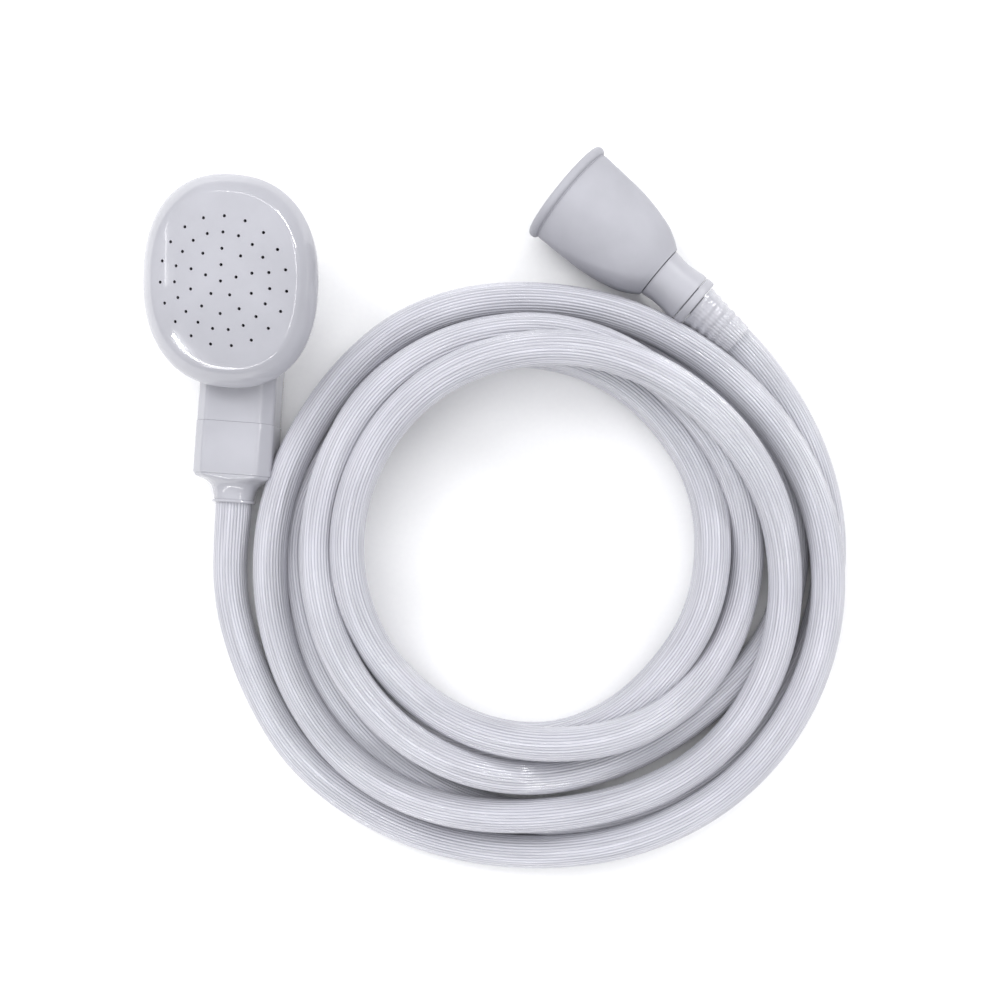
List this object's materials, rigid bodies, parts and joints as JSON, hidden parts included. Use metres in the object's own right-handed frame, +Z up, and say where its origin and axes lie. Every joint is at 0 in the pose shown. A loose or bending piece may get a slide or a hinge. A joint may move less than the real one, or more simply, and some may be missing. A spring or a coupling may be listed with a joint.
{
  "type": "handheld bath sprayer",
  "caption": "Handheld bath sprayer: oval spray rose on a swivel neck, coiled ribbed hose, and a rubber cup that slips over a tap.",
  "frame": {"origin": "under the middle of the handset (spray head, neck, collar and end cap), on the surface it lies on; the hose, its coil and the tap adapter are left out of this", "axes": "+Y along the neck from the hose towards the crown of the head, +Z up and the way the water sprays, +X to the right when looking down on the spray face with the crown away from you"},
  "size_m": [0.2863, 0.2962, 0.0602],
  "materials": {
    "head_plastic": "glossy lavender white",
    "inner_plastic": "satin white",
    "hose_pvc": "glossy white with fine lengthwise ribs",
    "cup_rubber": "matte lavender grey",
    "seal_rubber": "matte black",
    "steel": "brushed"
  },
  "bodies": {
    "hose_set": {"collar": "head_plastic", "hose_nipple": "inner_plastic", "collar_clip": "steel", "filter_screen": "steel", "end_cap": "head_plastic", "hose_head_end": "hose_pvc", "head_ferrule": "steel", "hose_head_tail": "hose_pvc", "hose_coil": "hose_pvc", "hose_tap_tail": "hose_pvc", "hose_tap_cuff": "hose_pvc", "tap_connector": "inner_plastic", "cup_neck": "inner_plastic", "tap_cup": "cup_rubber"},
    "spray_head": {"rear_shell": "head_plastic", "face_plate": "head_plastic", "face_gasket": "seal_rubber", "swivel_socket": "inner_plastic", "swivel_o_ring": "seal_rubber"}
  },
  "joints": [
    {"name": "head_swivel", "type": "hinge", "parent": "hose_set", "child": "spray_head", "pos_m": [0, -0.0305, 0.013], "axis": [0, -1, 0], "continuous": true}
  ]
}
